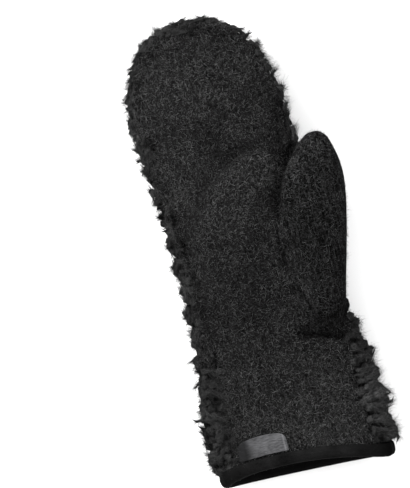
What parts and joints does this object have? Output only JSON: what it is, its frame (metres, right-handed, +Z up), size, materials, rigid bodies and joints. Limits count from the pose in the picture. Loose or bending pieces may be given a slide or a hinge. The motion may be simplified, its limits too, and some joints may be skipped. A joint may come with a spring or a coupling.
{
  "type": "wool mitten",
  "caption": "Right-hand wool mitten lying palm up, with a curly deep-pile back, felted palm, thumb and short index finger, bound open cuff and a bare label.",
  "frame": {"origin": "middle of the mitten's plan on the surface that it lies on", "axes": "+Y from the cuff to the fingertips, +X towards the thumb, +Z up out of the palm"},
  "size_m": [0.1272, 0.301, 0.0556],
  "materials": {
    "curly_pile": "curly wool pile, charcoal",
    "felted_knit": "felted fine wool knit, charcoal with lighter fibres",
    "binding_tape": "smooth black tape",
    "label_satin": "grey satin, bare"
  },
  "bodies": {
    "root": {"back_panel": "curly_pile", "palm_panel": "felted_knit", "thumb": "felted_knit", "index_finger": "felted_knit", "cuff_binding": "binding_tape", "label": "label_satin"}
  },
  "joints": []
}
